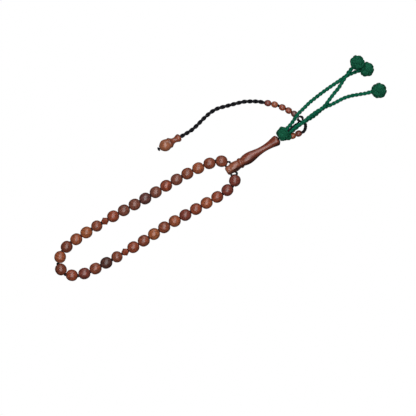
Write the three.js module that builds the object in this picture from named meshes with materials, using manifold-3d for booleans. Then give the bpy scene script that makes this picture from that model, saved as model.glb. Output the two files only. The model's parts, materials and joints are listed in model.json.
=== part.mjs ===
// Misbaha: a string of 33 wooden prayer beads on a thread loop, gathered at a turned leader bead
// (the imame), with a tassel of three twisted cords and a counter strand that ends in a turned finial.
// It lies flat on a surface at z = 0. Millimetres, +Z up. +X runs from the far end of the loop
// towards the tassel, and the origin is under the middle of the whole string.

import * as THREE from 'three';
import { mergeVertices } from 'three/addons/utils/BufferGeometryUtils.js';
import Module from 'manifold-3d';

const wasm = await Module();
wasm.setup();

// ---------------------------------------------------------------- driving dimensions

const FLOOR_GAP = 0.02;         // keeps resting curves a hair above the surface
const CLEARANCE = 0.3;          // gap between pieces that touch

const BEAD_RADIUS = 3.5;        // main beads
const BEAD_BORE = 0.75;         // radius of the hole through a main bead
const BEAD_COUNT = 33;
const BEADS_PER_THIRD = 11;     // a marker bead follows each of the first two thirds
const THREAD_RADIUS = 0.4;      // doubled loop thread
const FAR_END_SLACK = 0.3;      // extra gap at the turn, where the thread shows
const FAR_END_BEADS = [16, 17, 18];

const MARKER_RADIUS = 2.4;      // flange of a marker bead
const MARKER_END_RADIUS = 1.45;
const MARKER_HALF = 1.85;       // half its length

const IMAME_HALF_GAP = 1.6;     // each cross-hole's distance from the swing centre
const IMAME_PIVOT = [8.45, -11.45, 3.52];
const IMAME_YAW = THREE.MathUtils.degToRad(1);
const IMAME_BORE = 0.75;        // hole along the imame
const CROSS_HOLE = 0.7;         // radius of the two holes across it
const CORE_RADIUS = 0.42;       // thread inside the imame
const PIVOT_FROM_END = 3.15;    // swing centre, from the blunt end
const IMAME_LENGTH = 36.85;

const CORD_RADIUS = 1.15;       // green tassel cords and the black counter cord
const INNER_CORD_RADIUS = 0.75; // the counter cord where it runs through its small beads
const COUNTER_RADIUS = 1.95;
const COUNTER_HALF = 1.85;
const COUNTER_BORE = 1.05;

const FINIAL_TILT = THREE.MathUtils.degToRad(7.7);
const FINIAL_YAW = THREE.MathUtils.degToRad(178.6);
const FINIAL_BORE = 0.75;
const FINIAL_LENGTH = 14.2;
const STOPPER_RADIUS = 1.45;    // black knot under the finial

const BEAD_SEGMENTS = 12;
const TURNED_SEGMENTS = 16;
const CORD_SIDES = 8;

// ---------------------------------------------------------------- routes, chosen by hand

// Centreline of the bead loop, from its mouth at the imame round to the other mouth.
const LOOP_ROUTE = [
  [8.1, -7.2], [6.0, -4.4], [-0.9, -1.8], [-8.35, -0.75], [-23.25, 0.1], [-45.35, 0],
  [-67.55, 0.8], [-86.45, 0.75], [-94, 0.4], [-101.25, -0.5], [-108.1, -3.9], [-111.5, -10.4],
  [-107.6, -17], [-100.5, -20], [-93.15, -20.9], [-78.4, -21.5], [-59.05, -21.5],
  [-44.25, -20.9], [-29.45, -21.15], [-14.85, -21.5], [0.1, -21.3], [7, -18.6], [8.5, -15.6],
];

// Green cords. The first leaves the knot above the counter beads, and runs down to the surface.
const TASSEL_ROUTE_1 = [
  [50.6, -7.75, 6.3], [52.2, -7.35, 6.2], [54.1, -6.75, 5.9], [56.1, -5.85, 5.5], [58.1, -4.9, 5.25],
  [60.1, -4, 5.1], [62.1, -3.4, 4.7], [66, -2.5, 3.6], [70, -1.5, 2.4], [74, -0.9, 1.55],
  [78, -0.4, 1.22], [82, 0, 1.2], [86, 0.3, 1.2], [90, 0.5, 1.2], [94, 0.75, 1.2], [97, 0.95, 1.3],
  [100, 0.8, 1.75], [102, 0.5, 2.4], [104, 0.15, 3.1], [106, -0.25, 3.65],
];
// The second lies on the third, then crosses over the first.
const TASSEL_ROUTE_2 = [
  [51.1, -10.25, 5.95], [54, -9.95, 6.05], [58, -9.8, 5.95], [61, -9.7, 5.85], [64, -9.1, 5.6],
  [68, -8.65, 4.8], [71, -8.35, 4.2], [74, -8.4, 3.85], [76, -8.15, 3.8], [78, -7.6, 3.65],
  [80, -6.75, 3.4], [82, -5.9, 3.3], [86, -4.3, 3.35], [90, -2.9, 3.6], [92, -1.8, 3.75],
  [94, -0.8, 3.85], [96, 0.2, 3.95], [98, 1.1, 4.1], [100, 2.15, 4.7], [101.8, 2.9, 5.4],
  [103.4, 3.4, 6.15],
];
// The third is split where it parts from the second.
const TASSEL_ROUTE_3_INNER = [
  [51.1, -10.9, 3.5], [54, -10.65, 3.5], [58, -10, 3.4], [61, -9.8, 3.3], [64, -9.85, 3.05],
  [67, -9.85, 2.5], [70, -9.6, 1.75], [72.5, -9.1, 1.3], [75, -8.7, 1.2], [77.2, -8.65, 1.2],
];
const TASSEL_ROUTE_3_OUTER = [
  [77.8, -8.72, 1.2], [80, -9.15, 1.2], [84, -9.5, 1.2], [88, -9.7, 1.2], [90, -9.9, 1.2],
  [92, -10.3, 1.2], [94, -10.9, 1.2], [96, -11.55, 1.25], [98, -12.4, 1.5], [100, -13.15, 1.9],
  [102, -14, 2.5], [103.7, -14.55, 3], [105.1, -15, 3.4],
];

// Black counter cord: from the tassel knot through two beads, round under the green cords,
// through five beads and out to the finial.
const TAIL_START = [[49.2, -12.75, 2.3]];
const TAIL_BEADS = [[51.05, -13.45], [54.9, -14.1]];
const TAIL_END = [
  [57.7, -14.75, 1.85], [59.2, -14.2, 1.4], [60.4, -13.15, 1], [61.2, -11.9, 0.85],
  [61.5, -10.6, 0.85], [61.3, -9.2, 0.85], [60.6, -7.35, 0.85],
];
const BEADED_START = [[60.3, -6.6, 0.85], [60, -5.4, 1.3]];
const STRAND_BEADS = [[58.85, -2.6], [56.9, 1], [54.6, 4.6], [51.5, 8.5], [48.4, 11.35]];
const BEADED_END = [[46.6, 12.85, 1.8]];
const STRAND_ROUTE = [
  [46.3, 13.1, 1.7], [44.6, 14.7, 1.35], [42.6, 16.1, 1.2], [39.6, 17.9, 1.2], [36.4, 19.6, 1.2],
  [30.9, 21.4, 1.2], [25.65, 22.9, 1.2], [20.6, 24.3, 1.2], [16.85, 24.5, 1.2], [11.2, 23.7, 1.2],
  [5.3, 22.2, 1.2], [1.65, 21.4, 1.25], [-1.5, 21.1, 1.45], [-4.6, 21.12, 1.95], [-7.2, 21.15, 2.25],
];

// Ball knots: centre and half sizes.
const TASSEL_KNOT = { at: [46.55, -9.5, 4.42], half: [4.05, 4.65, 4.4] };
const END_KNOTS = [
  { at: [110.65, -2, 4], half: [4.2, 4.25, 3.98] },
  { at: [107.75, 4.7, 8.4], half: [4.15, 4.15, 3.98] },
  { at: [110.2, -16.9, 4.33], half: [4.5, 4.65, 4.3] },
];

// ---------------------------------------------------------------- outlines of turned pieces
// Each is a list of [distance along the axis, radius].

const IMAME_OUTLINE = [
  [0, 1.9], [0.5, 2.35], [1.3, 2.65], [2.6, 2.9], [4.2, 3.15], [5.6, 3.25], [7, 3.12], [8.2, 2.85],
  [8.9, 2.75], [9.6, 3.1], [10.05, 3.3], [10.5, 3.1], [11.3, 2.8], [12.3, 3], [13.8, 3.35],
  [15.5, 3.48], [17.2, 3.38], [19, 3.08], [21, 2.66], [23.2, 2.25], [26.5, 2.05], [29, 2.15],
  [31.5, 2.45], [33.6, 2.9], [35, 3.22], [35.9, 3.22], [IMAME_LENGTH, 2.85],
];
const FINIAL_OUTLINE = [
  [0, 1.6], [0.4, 2.2], [1.2, 2.45], [2.1, 2.25], [3.1, 1.85], [4.2, 1.68], [5.2, 1.9], [6.1, 2.5],
  [6.8, 3.05], [7.3, 3.25], [8, 3.15], [9, 3.4], [10.3, 3.7], [11.3, 3.62], [12.2, 3.3],
  [13.1, 2.6], [13.8, 1.9], [FINIAL_LENGTH, 1.35],
];

// ---------------------------------------------------------------- materials

const TONES = {
  orange: 0x98603f, tan: 0x9c6a48, brown: 0x85563f, red: 0x8c4f3c,
  dark: 0x6b4038, maroon: 0x70433c, plum: 0x614440, grey: 0x5b433f,
};
const BEAD_TONES = [
  'brown', 'brown', 'orange', 'brown', 'maroon', 'red', 'maroon', 'plum', 'maroon', 'brown', 'red',
  'brown', 'tan', 'orange', 'dark', 'orange', 'dark', 'red', 'maroon', 'brown', 'grey', 'brown',
  'red', 'brown', 'tan', 'red', 'orange', 'maroon', 'red', 'orange', 'red', 'maroon', 'maroon',
];
const COUNTER_TONES = ['orange', 'maroon', 'plum', 'red', 'red', 'orange', 'maroon'];

function wood(tone) {
  return new THREE.MeshStandardMaterial({ color: TONES[tone], roughness: 0.35, metalness: 0 });
}

function cloth(color) {
  return new THREE.MeshStandardMaterial({ color, roughness: 0.9, metalness: 0 });
}

const GREEN = 0x14603f;
const BLACK = 0x15161a;

// ---------------------------------------------------------------- helpers

// A curve through given stations, so that a tube has its sections exactly at them.
class StationPath extends THREE.Curve {
  constructor(stations) {
    super();
    this.stations = stations;
  }
  getPoint(t, target = new THREE.Vector3()) {
    const place = THREE.MathUtils.clamp(t, 0, 1) * (this.stations.length - 1);
    const index = Math.min(Math.floor(place), this.stations.length - 2);
    return target.lerpVectors(this.stations[index], this.stations[index + 1], place - index);
  }
  getUtoTmapping(u) {
    return u;
  }
}

function ring(radius, sides) {
  const shape = new THREE.Shape();
  for (let side = 0; side < sides; side += 1) {
    const angle = (2 * Math.PI * side) / sides;
    const x = radius * Math.cos(angle);
    const y = radius * Math.sin(angle);
    if (side === 0) shape.moveTo(x, y);
    else shape.lineTo(x, y);
  }
  shape.closePath();
  return shape;
}

function tube(stations, radius) {
  return new THREE.ExtrudeGeometry(ring(radius, CORD_SIDES), {
    steps: stations.length - 1,
    extrudePath: new StationPath(stations),
    bevelEnabled: false,
  });
}

// A smooth cord through the points of a route, with a section about every `spacing`.
function cord(route, radius, spacing) {
  const curve = new THREE.CatmullRomCurve3(route.map((p) => new THREE.Vector3(...p)), false, 'centripetal');
  const steps = Math.round(curve.getLength() / spacing);
  return tube(curve.getSpacedPoints(steps), radius);
}

// A turned piece round +Y, from an outline of [distance, radius], with a hole along it.
function turned(outline, bore, segments) {
  const points = outline.map(([along, radius]) => new THREE.Vector2(radius, along));
  const last = outline.at(-1)[0];
  const first = outline[0][0];
  points.push(new THREE.Vector2(bore, last), new THREE.Vector2(bore, first), points[0].clone());
  return new THREE.LatheGeometry(points, segments);
}

// A turned piece round +Y with no hole: the outline starts and ends on the axis.
function turnedSolid(outline, segments) {
  const points = outline.map(([along, radius]) => new THREE.Vector2(radius, along));
  points.unshift(new THREE.Vector2(0, outline[0][0]));
  points.push(new THREE.Vector2(0, outline.at(-1)[0]));
  return new THREE.LatheGeometry(points, segments);
}

function smoothOutline(outline, steps) {
  const curve = new THREE.SplineCurve(outline.map(([along, radius]) => new THREE.Vector2(along, radius)));
  return curve.getPoints(steps).map((p) => [p.x, p.y]);
}

function ball({ half }) {
  const shape = new THREE.SphereGeometry(1, TURNED_SEGMENTS, 10);
  shape.rotateX(Math.PI / 2);
  shape.scale(...half);
  return shape;
}

function solidOf(geometry) {
  const bare = geometry.clone();
  bare.deleteAttribute('normal');
  bare.deleteAttribute('uv');
  const merged = mergeVertices(bare, 1e-4);
  return new wasm.Manifold(new wasm.Mesh({
    numProp: 3,
    vertProperties: new Float32Array(merged.attributes.position.array),
    triVerts: new Uint32Array(merged.index.array),
  }));
}

function geometryOf(solid) {
  const mesh = solid.getMesh();
  const geometry = new THREE.BufferGeometry();
  geometry.setAttribute('position', new THREE.BufferAttribute(mesh.vertProperties, 3));
  geometry.setIndex(new THREE.BufferAttribute(mesh.triVerts, 1));
  geometry.computeVertexNormals();
  return geometry;
}

const misbaha = new THREE.Group();

function add(name, geometry, material, parent = misbaha) {
  const mesh = new THREE.Mesh(geometry, material);
  mesh.name = name;
  parent.add(mesh);
  return mesh;
}

// Turns a piece made round +Y so that its axis lies level along a direction.
function layAlong(mesh, direction) {
  mesh.rotation.z = Math.atan2(direction.y, direction.x) - Math.PI / 2;
}

const twoDigits = (number) => String(number).padStart(2, '0');

// ---------------------------------------------------------------- bead loop

function beadOutline() {
  const start = Math.asin(BEAD_BORE / BEAD_RADIUS);
  const arcs = 8;
  const outline = [];
  for (let step = 0; step <= arcs; step += 1) {
    const angle = start + ((Math.PI - 2 * start) * step) / arcs;
    outline.push([-BEAD_RADIUS * Math.cos(angle), BEAD_RADIUS * Math.sin(angle)]);
  }
  return outline;
}

function markerOutline() {
  const shoulder = MARKER_HALF * 0.4;
  const neck = MARKER_RADIUS * 0.74;
  const rim = 0.25;
  return [
    [-MARKER_HALF, MARKER_END_RADIUS], [-shoulder, neck], [-rim, MARKER_RADIUS],
    [rim, MARKER_RADIUS], [shoulder, neck], [MARKER_HALF, MARKER_END_RADIUS],
  ];
}

// Every bead and marker along the thread, in order, as { name, half length, kind }.
function threadOrder() {
  const order = [];
  for (let bead = 1; bead <= BEAD_COUNT; bead += 1) {
    order.push({ name: `bead_${twoDigits(bead)}`, half: BEAD_RADIUS, bead });
    const third = bead / BEADS_PER_THIRD;
    if (Number.isInteger(third) && bead < BEAD_COUNT) {
      order.push({ name: `marker_bead_${third}`, half: MARKER_HALF });
    }
  }
  return order;
}

// Spreads the beads along the loop with one even gap, and adds each one's centre and direction.
function placeOnLoop(order, curve) {
  const slack = order.map((item) => (FAR_END_BEADS.includes(item.bead) ? FAR_END_SLACK : 0));
  const solid = order.reduce((sum, item) => sum + 2 * item.half, 0);
  const extra = slack.reduce((sum, value) => sum + value, 0);
  const gap = (curve.getLength() - solid - extra) / (order.length - 1);
  let along = 0;
  order.forEach((item, index) => {
    along += item.half;
    const share = along / curve.getLength();
    item.centre = curve.getPointAt(share);
    item.direction = curve.getTangentAt(share);
    along += item.half + gap + slack[index];
  });
}

const loopCurve = new THREE.CatmullRomCurve3(
  LOOP_ROUTE.map(([x, y]) => new THREE.Vector3(x, y, BEAD_RADIUS + FLOOR_GAP)), false, 'centripetal');
loopCurve.arcLengthDivisions = 2000;
const strung = threadOrder();
placeOnLoop(strung, loopCurve);

for (const item of strung) {
  const outline = item.bead ? beadOutline() : markerOutline();
  const tone = item.bead ? BEAD_TONES[item.bead - 1] : 'red';
  const mesh = add(item.name, turned(outline, BEAD_BORE, BEAD_SEGMENTS), wood(tone));
  mesh.position.copy(item.centre);
  layAlong(mesh, item.direction);
}

// The thread is straight inside each bead and bends between them.
function mouths(item) {
  const reach = item.half - 0.05;
  return [-reach, reach].map((along) => item.centre.clone().addScaledVector(item.direction, along));
}

const firstFar = strung.findIndex((item) => item.bead === BEADS_PER_THIRD + 1);
const lastFar = strung.findIndex((item) => item.bead === 2 * BEADS_PER_THIRD);

// Where the thread folds: half way across the gap next to each marker bead.
function foldPoint(before, after) {
  return mouths(before)[1].clone().add(mouths(after)[0]).multiplyScalar(0.5);
}

const upperFold = foldPoint(strung[firstFar - 1], strung[firstFar]);
const lowerFold = foldPoint(strung[lastFar], strung[lastFar + 1]);

// A run of thread that stops short of each fold point by half the clearance.
function threadRun(items, before, after) {
  const stations = items.flatMap(mouths);
  if (before) {
    const away = stations[0].clone().sub(before).normalize();
    stations.unshift(before.clone().addScaledVector(away, CLEARANCE / 2));
  }
  if (after) {
    const away = stations.at(-1).clone().sub(after).normalize();
    stations.push(after.clone().addScaledVector(away, CLEARANCE / 2));
  }
  return tube(stations, THREAD_RADIUS);
}

add('thread_upper', threadRun(strung.slice(0, firstFar), null, upperFold), cloth(BLACK));
add('thread_far', threadRun(strung.slice(firstFar, lastFar + 1), upperFold, lowerFold), cloth(BLACK));
add('thread_lower', threadRun(strung.slice(lastFar + 1), lowerFold, null), cloth(BLACK));

// ---------------------------------------------------------------- imame and its core thread

// The group's origin is the swing centre, and its +Y is the imame's axis.
const imame = new THREE.Group();
imame.position.set(...IMAME_PIVOT);
imame.rotation.z = IMAME_YAW - Math.PI / 2;
misbaha.add(imame);

function crossRod(radius, half, along) {
  const rod = new THREE.CylinderGeometry(radius, radius, 2 * half, CORD_SIDES + 4);
  rod.rotateZ(Math.PI / 2);
  rod.translate(0, along, 0);
  return rod;
}

function imameSolid() {
  const body = turned(IMAME_OUTLINE, IMAME_BORE, TURNED_SEGMENTS);
  body.translate(0, -PIVOT_FROM_END, 0);
  const reach = 5;
  let solid = solidOf(body);
  for (const side of [-IMAME_HALF_GAP, IMAME_HALF_GAP]) {
    solid = solid.subtract(solidOf(crossRod(CROSS_HOLE, reach, side)));
  }
  return geometryOf(solid);
}

// The loop thread inside: across both holes, and up the bore to the tassel knot.
function coreSolid() {
  const top = IMAME_LENGTH - PIVOT_FROM_END - CLEARANCE;
  const length = top + IMAME_HALF_GAP;
  const riser = new THREE.CylinderGeometry(CORE_RADIUS, CORE_RADIUS, length, CORD_SIDES);
  riser.translate(0, top - length / 2, 0);
  const reach = 3.2;
  let solid = solidOf(riser);
  for (const side of [-IMAME_HALF_GAP, IMAME_HALF_GAP]) {
    solid = solid.add(solidOf(crossRod(THREAD_RADIUS, reach, side)));
  }
  return geometryOf(solid);
}

add('imame', imameSolid(), wood('red'), imame);
add('imame_core_thread', coreSolid(), cloth(BLACK), imame);

// ---------------------------------------------------------------- tassel

const CORD_SPACING = 3.6;

function knot(name, shape) {
  add(name, ball(shape), cloth(GREEN)).position.set(...shape.at);
}

knot('tassel_knot', TASSEL_KNOT);
add('tassel_cord_1', cord(TASSEL_ROUTE_1, CORD_RADIUS, CORD_SPACING), cloth(GREEN));
add('tassel_cord_2', cord(TASSEL_ROUTE_2, CORD_RADIUS, CORD_SPACING), cloth(GREEN));
add('tassel_cord_3_inner', cord(TASSEL_ROUTE_3_INNER, CORD_RADIUS, CORD_SPACING), cloth(GREEN));
add('tassel_cord_3_outer', cord(TASSEL_ROUTE_3_OUTER, CORD_RADIUS, CORD_SPACING), cloth(GREEN));
END_KNOTS.forEach((shape, index) => knot(`end_knot_${index + 1}`, shape));

// ---------------------------------------------------------------- counter strand

function counterOutline() {
  const lip = COUNTER_BORE + 0.1;
  const arcs = 6;
  const outline = [];
  for (let step = 0; step <= arcs; step += 1) {
    const angle = (Math.PI * step) / arcs;
    outline.push([-COUNTER_HALF * Math.cos(angle), lip + (COUNTER_RADIUS - lip) * Math.sin(angle)]);
  }
  return outline;
}

// Threads small beads on a cord: each faces along the line between its neighbours, and the cord
// is straight inside it.
function beadedCord(name, start, places, end, firstNumber) {
  const centres = places.map(([x, y]) => new THREE.Vector3(x, y, COUNTER_RADIUS + FLOOR_GAP));
  const before = start.map((p) => new THREE.Vector3(...p));
  const after = end.map((p) => new THREE.Vector3(...p));
  const chain = [before.at(-1), ...centres, after[0]];
  const stations = [...before];
  centres.forEach((centre, index) => {
    const direction = chain[index + 2].clone().sub(chain[index]).setZ(0).normalize();
    const number = firstNumber + index;
    const geometry = turned(counterOutline(), COUNTER_BORE, BEAD_SEGMENTS);
    const mesh = add(`counter_bead_${number}`, geometry, wood(COUNTER_TONES[number - 1]));
    mesh.position.copy(centre);
    layAlong(mesh, direction);
    for (const side of [-COUNTER_HALF, COUNTER_HALF]) {
      stations.push(centre.clone().addScaledVector(direction, side));
    }
  });
  add(name, tube([...stations, ...after], INNER_CORD_RADIUS), cloth(BLACK));
}

beadedCord('counter_cord_tail', TAIL_START, TAIL_BEADS, TAIL_END, 1);
beadedCord('counter_cord_beaded', BEADED_START, STRAND_BEADS, BEADED_END, 1 + TAIL_BEADS.length);
add('counter_cord_strand', cord(STRAND_ROUTE, CORD_RADIUS, CORD_SPACING), cloth(BLACK));

// ---------------------------------------------------------------- finial and its stopper knot

// The finial rests on its belly and its head, so its axis slopes down towards the cord.
const finial = new THREE.Group();
const finialAxis = new THREE.Vector3(
  Math.cos(FINIAL_TILT) * Math.cos(FINIAL_YAW),
  Math.cos(FINIAL_TILT) * Math.sin(FINIAL_YAW),
  Math.sin(FINIAL_TILT));
finial.position.set(-7.9, 21.17, 2.34);
finial.quaternion.setFromUnitVectors(new THREE.Vector3(0, 1, 0), finialAxis);
misbaha.add(finial);

// The stopper knot, with the end of the cord that it holds inside the finial.
const STOPPER_OUTLINE = [
  [CLEARANCE, CORE_RADIUS], [FINIAL_LENGTH + CLEARANCE, CORE_RADIUS],
  [FINIAL_LENGTH + CLEARANCE, STOPPER_RADIUS * 0.75], [FINIAL_LENGTH + 0.6, STOPPER_RADIUS],
  [FINIAL_LENGTH + 1.2, STOPPER_RADIUS], [FINIAL_LENGTH + 1.6, STOPPER_RADIUS * 0.6],
];

add('finial', turned(FINIAL_OUTLINE, FINIAL_BORE, TURNED_SEGMENTS), wood('tan'), finial);
add('stopper_knot', turnedSolid(STOPPER_OUTLINE, BEAD_SEGMENTS), cloth(BLACK), finial);

export default misbaha;
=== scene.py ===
"""Looks of the misbaha: polished wooden beads, turned imame and finial, twisted cords and woven knots.

Lengths of the object are in millimetres until a mesh is made; lamps and camera are in metres. The
frame is the CAD's, with the surface at z = 0.
"""

import json
import math
import random

import bpy
import numpy as np
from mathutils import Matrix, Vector


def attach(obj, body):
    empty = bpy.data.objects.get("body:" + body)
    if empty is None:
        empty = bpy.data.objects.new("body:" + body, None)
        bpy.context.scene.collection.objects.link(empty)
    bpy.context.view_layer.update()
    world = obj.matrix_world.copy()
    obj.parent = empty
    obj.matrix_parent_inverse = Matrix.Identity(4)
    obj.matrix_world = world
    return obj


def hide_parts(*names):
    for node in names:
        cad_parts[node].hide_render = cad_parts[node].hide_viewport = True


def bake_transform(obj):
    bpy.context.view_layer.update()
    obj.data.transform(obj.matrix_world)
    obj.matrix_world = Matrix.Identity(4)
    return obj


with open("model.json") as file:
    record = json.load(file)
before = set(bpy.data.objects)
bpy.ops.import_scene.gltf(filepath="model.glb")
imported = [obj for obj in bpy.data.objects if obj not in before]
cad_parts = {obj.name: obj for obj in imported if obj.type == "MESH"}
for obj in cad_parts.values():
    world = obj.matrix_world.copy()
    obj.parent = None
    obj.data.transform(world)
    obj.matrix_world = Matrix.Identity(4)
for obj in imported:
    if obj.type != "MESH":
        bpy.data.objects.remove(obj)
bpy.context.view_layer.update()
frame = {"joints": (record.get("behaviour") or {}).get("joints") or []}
MM = 0.001
JOINTS = {joint["name"]: joint for joint in frame["joints"]}
SCENE = bpy.context.scene

# ---------------------------------------------------------------- camera

VIEW_WIDTH = 252.8  # mm across the picture
VIEW_CENTRE = (-15.65, -24.55, 3.5)
VIEW_ROLL = math.radians(31)  # the string runs up to the right
CAMERA_HEIGHT = 1.6  # m above the beads
SENSOR = 36.0


def make_camera():
    data = bpy.data.cameras.new("camera")
    data.sensor_width = SENSOR
    data.lens = SENSOR * CAMERA_HEIGHT / (VIEW_WIDTH * MM)
    data.clip_end = 20
    camera = bpy.data.objects.new("camera", data)
    SCENE.collection.objects.link(camera)
    x, y, z = (value * MM for value in VIEW_CENTRE)
    camera.location = (x, y, z + CAMERA_HEIGHT)
    camera.rotation_euler = (0, 0, -VIEW_ROLL)
    SCENE.camera = camera


make_camera()

# ---------------------------------------------------------------- material helpers


def node(tree, kind, inputs=None, **settings):
    made = tree.nodes.new(kind)
    for name, value in settings.items():
        setattr(made, name, value)
    for name, value in (inputs or {}).items():
        if isinstance(value, bpy.types.NodeSocket):
            tree.links.new(value, made.inputs[name])
        else:
            made.inputs[name].default_value = value
    return made


def linear(red, green, blue):
    out = []
    for value in (red, green, blue):
        value /= 255
        out.append(value / 12.92 if value <= 0.04045 else ((value + 0.055) / 1.055) ** 2.4)
    return (*out, 1.0)


def scaled(color, factor):
    return tuple(min(1.0, max(0.0, value * factor)) for value in color[:3]) + (1.0,)


def ramp(tree, factor, stops):
    made = node(tree, "ShaderNodeValToRGB", {"Fac": factor})
    elements = made.color_ramp.elements
    while len(elements) < len(stops):
        elements.new(0.5)
    for element, (position, color) in zip(elements, stops):
        element.position = position
        element.color = color
    return made.outputs["Color"]


def math_node(tree, operation, first, second=0.0, third=0.0):
    made = node(tree, "ShaderNodeMath", operation=operation)
    for socket, value in zip(made.inputs, (first, second, third)):
        if isinstance(value, bpy.types.NodeSocket):
            tree.links.new(value, socket)
        else:
            socket.default_value = value
    return made.outputs["Value"]


def stretched(tree, vector, scale):
    return node(tree, "ShaderNodeMapping", {"Vector": vector, "Scale": scale}).outputs["Vector"]


def noise(tree, vector, scale, detail=4.0, roughness=0.55, distortion=0.0):
    made = node(
        tree,
        "ShaderNodeTexNoise",
        {
            "Vector": vector,
            "Scale": scale,
            "Detail": detail,
            "Roughness": roughness,
            "Distortion": distortion,
        },
    )
    return made.outputs["Fac"]


# Where a colour mix node keeps its sockets.
MIX_AMOUNT, MIX_FIRST, MIX_SECOND, MIX_RESULT = 0, 6, 7, 2


def grey_ramp(tree, factor, low, high):
    return ramp(tree, factor, [(low, (0, 0, 0, 1)), (high, (1, 1, 1, 1))])


def mixed(tree, kind, amount, first, second):
    """Blends colour `second` into `first` by `amount`. Each colour is a socket or a value."""
    made = node(tree, "ShaderNodeMix", data_type="RGBA", blend_type=kind)
    tree.links.new(amount, made.inputs[MIX_AMOUNT])
    for place, value in ((MIX_FIRST, first), (MIX_SECOND, second)):
        if isinstance(value, bpy.types.NodeSocket):
            tree.links.new(value, made.inputs[place])
        else:
            made.inputs[place].default_value = value
    return made.outputs[MIX_RESULT]


# ---------------------------------------------------------------- wood

# Each tone is the middle colour of the wood; its grain runs darker and lighter round it.
WOOD_TONES = {
    "orange": linear(169, 92, 60),
    "tan": linear(174, 100, 62),
    "brown": linear(149, 80, 57),
    "red": linear(156, 77, 53),
    "dark": linear(132, 69, 50),
    "maroon": linear(135, 68, 56),
    "russet": linear(139, 82, 66),
    "plum": linear(114, 69, 63),
    "grey": linear(92, 57, 49),
    "rosewood": linear(142, 69, 50),
    "belly": linear(186, 118, 84),
    # A dark tone laid along the imame's lower side as painted shade.
    "underside_painted_shade": linear(70, 36, 30),
}
PORE_COLOR = (0.28, 0.2, 0.18, 1)


def wood(name, tone, seed, lengthwise=False, zones=(), relief=0.4):
    """Polished hardwood: growth rings, long grain, pores and a mottled polish.

    Grain runs along the string's length when lengthwise is set, and in a direction of its own
    otherwise. Each zone is (axis, start, end, tone, amount): from start to end in mm along that
    axis the wood turns to its tone.
    """
    dice = random.Random(seed)
    material = bpy.data.materials.new(name)
    material.use_nodes = True
    tree = material.node_tree
    shader = tree.nodes["Principled BSDF"]
    middle = WOOD_TONES[tone]

    if lengthwise:
        turn = (dice.uniform(-0.04, 0.04), math.radians(90), dice.uniform(-0.04, 0.04))
    else:
        turn = tuple(dice.uniform(-math.pi, math.pi) for _ in range(3))
    coords = node(tree, "ShaderNodeTexCoord").outputs["Object"]
    placed = node(
        tree,
        "ShaderNodeMapping",
        {
            "Vector": coords,
            "Scale": (1000, 1000, 1000),
            "Rotation": turn,
            "Location": tuple(dice.uniform(-40, 40) for _ in range(3)),
        },
    ).outputs["Vector"]

    rings = node(
        tree,
        "ShaderNodeTexWave",
        {
            "Vector": placed,
            "Scale": 0.16,
            "Distortion": 5.0,
            "Detail": 3.0,
            "Detail Scale": 0.35,
            "Detail Roughness": 0.6,
        },
        wave_type="RINGS",
        rings_direction="Z",
        wave_profile="SIN",
    ).outputs["Fac"]
    streaks = noise(tree, stretched(tree, placed, (1.5, 1.5, 0.16)), 1.0, 6.0, 0.65, 0.3)
    fibres = noise(tree, stretched(tree, placed, (6.0, 6.0, 0.7)), 1.0, 3.0, 0.6)
    pores = grey_ramp(
        tree, noise(tree, stretched(tree, placed, (11.0, 11.0, 1.3)), 1.0, 2.0, 0.5), 0.60, 0.70
    )
    patches = noise(tree, stretched(tree, placed, (0.35, 0.35, 0.2)), 1.0, 2.0, 0.5)

    grain = math_node(tree, "MULTIPLY_ADD", rings, 0.14, math_node(tree, "MULTIPLY", streaks, 0.86))
    grain = math_node(tree, "MULTIPLY_ADD", math_node(tree, "SUBTRACT", fibres, 0.5), 0.5, grain)
    color = ramp(
        tree,
        grain,
        [
            (0.22, scaled(middle, 0.34)),
            (0.40, scaled(middle, 0.74)),
            (0.55, scaled(middle, 1.12)),
            (0.74, scaled(middle, 1.75)),
        ],
    )
    warm = (min(1.0, middle[0] * 1.5), middle[1] * 1.15, middle[2] * 0.85, 1.0)
    warmth = math_node(tree, "MULTIPLY", grey_ramp(tree, patches, 0.5, 0.8), 0.45)
    color = mixed(tree, "MIX", warmth, color, warm)
    # A zone blends in another tone. The imame's dark lower-side zone is painted shade, not wood colour.
    for axis, start, end, other, amount in zones:
        place = node(tree, "ShaderNodeSeparateXYZ", {"Vector": coords}).outputs[axis]
        edge = math_node(tree, "MULTIPLY_ADD", math_node(tree, "SUBTRACT", streaks, 0.5), 0.0016, place)
        inside = node(
            tree,
            "ShaderNodeMapRange",
            {"Value": edge, "From Min": start * MM, "From Max": end * MM},
        ).outputs["Result"]
        shade = WOOD_TONES[other]
        stops = [(0.25, scaled(shade, 0.6)), (0.5, shade), (0.75, scaled(shade, 1.3))]
        share = math_node(tree, "MULTIPLY", inside, amount)
        color = mixed(tree, "MIX", share, color, ramp(tree, grain, stops))
    pore_share = math_node(tree, "MULTIPLY", pores, 0.75)
    color = mixed(tree, "MULTIPLY", pore_share, color, PORE_COLOR)
    tree.links.new(color, shader.inputs["Base Color"])

    mottle = noise(tree, placed, 1.1, 3.0, 0.6)
    rough = node(
        tree,
        "ShaderNodeMapRange",
        {"Value": mottle, "From Min": 0.3, "From Max": 0.7, "To Min": 0.2, "To Max": 0.36},
    ).outputs["Result"]
    tree.links.new(rough, shader.inputs["Roughness"])
    shader.inputs["Specular IOR Level"].default_value = 0.5
    shader.inputs["Coat Weight"].default_value = 0.7
    shader.inputs["Coat Roughness"].default_value = 0.13

    height = math_node(tree, "MULTIPLY_ADD", mottle, 0.8, math_node(tree, "MULTIPLY", fibres, 0.35))
    height = math_node(tree, "MULTIPLY_ADD", pores, -0.6, height)
    bump = node(tree, "ShaderNodeBump", {"Height": height, "Strength": relief, "Distance": 0.00012})
    tree.links.new(bump.outputs["Normal"], shader.inputs["Normal"])
    tree.links.new(bump.outputs["Normal"], shader.inputs["Coat Normal"])
    return material


# ---------------------------------------------------------------- cord


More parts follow.
